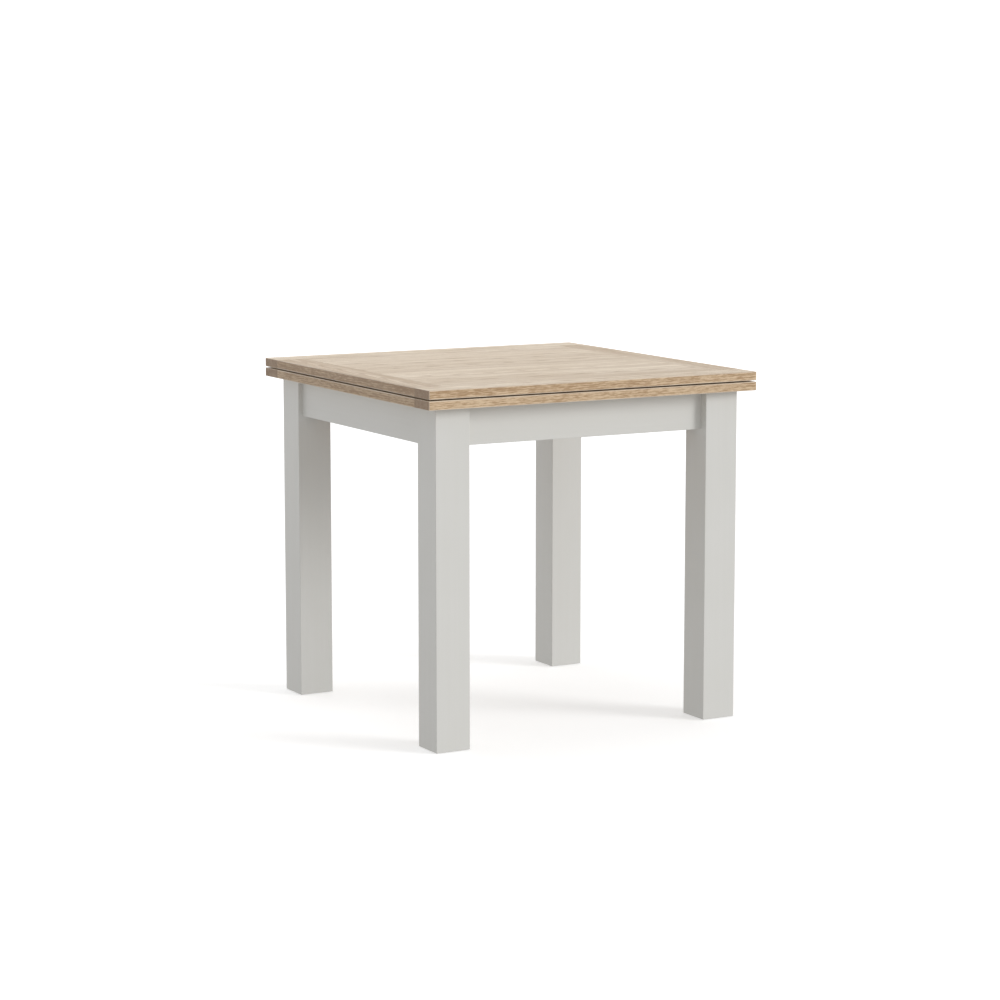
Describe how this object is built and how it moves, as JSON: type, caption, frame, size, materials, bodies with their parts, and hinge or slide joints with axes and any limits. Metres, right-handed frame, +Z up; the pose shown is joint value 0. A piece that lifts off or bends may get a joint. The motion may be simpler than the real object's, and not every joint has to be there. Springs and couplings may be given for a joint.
{
  "type": "flip-top extending table",
  "caption": "Small square dining table: two hinged oak leaves, one on the other, slide on a painted four-leg base and fold out to double the top.",
  "frame": {"origin": "on the floor below the middle of the closed table top", "axes": "+Z up; +X along the grain of the top, towards the edge with the hinges; -Y is the front; the leaves slide towards -X"},
  "size_m": [0.8028, 0.8, 0.765],
  "materials": {
    "oak": "limed oak, matt oil",
    "painted_wood": "pale grey satin paint",
    "beech": "plain sanded wood",
    "brass": "satin",
    "zinc_steel": "zinc plated",
    "nylon": "matt",
    "felt": "pressed felt",
    "rubber": "matt"
  },
  "bodies": {
    "base": {"apron_back": "painted_wood", "apron_front": "painted_wood", "apron_left": "painted_wood", "apron_right": "painted_wood", "corner_block_back_left": "beech", "corner_block_back_right": "beech", "corner_block_front_left": "beech", "corner_block_front_right": "beech", "corner_block_screws": "zinc_steel", "cross_rail": "beech", "cross_rail_dowels": "beech", "cross_rail_screws": "zinc_steel", "foot_glide_back_left": "nylon", "foot_glide_back_right": "nylon", "foot_glide_front_left": "nylon", "foot_glide_front_right": "nylon", "foot_nails": "zinc_steel", "glide_strip_back": "felt", "glide_strip_front": "felt", "glide_strip_left": "felt", "glide_strip_right": "felt", "leg_back_left": "painted_wood", "leg_back_right": "painted_wood", "leg_bolt_nuts": "zinc_steel", "leg_bolt_washers": "zinc_steel", "leg_bolts": "zinc_steel", "leg_front_left": "painted_wood", "leg_front_right": "painted_wood", "rail_dowels": "beech", "slide_rail_back": "beech", "slide_rail_front": "beech", "slide_stops": "rubber"},
    "lower_leaf": {"hinge_pin_back": "brass", "hinge_pin_front": "brass", "hinge_pin_middle": "brass", "hinge_plate_lower_back": "brass", "hinge_plate_lower_front": "brass", "hinge_plate_lower_middle": "brass", "hinge_screws_lower": "brass", "leaf_pads": "felt", "lower_leaf_border_back": "oak", "lower_leaf_border_front": "oak", "lower_leaf_border_left": "oak", "lower_leaf_border_right": "oak", "lower_leaf_panel": "oak", "runner_back": "beech", "runner_front": "beech", "runner_screws": "zinc_steel"},
    "upper_leaf": {"hinge_plate_upper_back": "brass", "hinge_plate_upper_front": "brass", "hinge_plate_upper_middle": "brass", "hinge_screws_upper": "brass", "upper_leaf_border_back": "oak", "upper_leaf_border_front": "oak", "upper_leaf_border_left": "oak", "upper_leaf_border_right": "oak", "upper_leaf_panel": "oak"}
  },
  "joints": [
    {"name": "top_slide", "type": "slide", "parent": "base", "child": "lower_leaf", "axis": [-1, 0, 0], "range_m": [0, 0.4003]},
    {"name": "leaf_hinge", "type": "hinge", "parent": "lower_leaf", "child": "upper_leaf", "pos_m": [0.4003, 0, 0.7445], "axis": [0, 1, 0], "range_deg": [0, 180]}
  ]
}
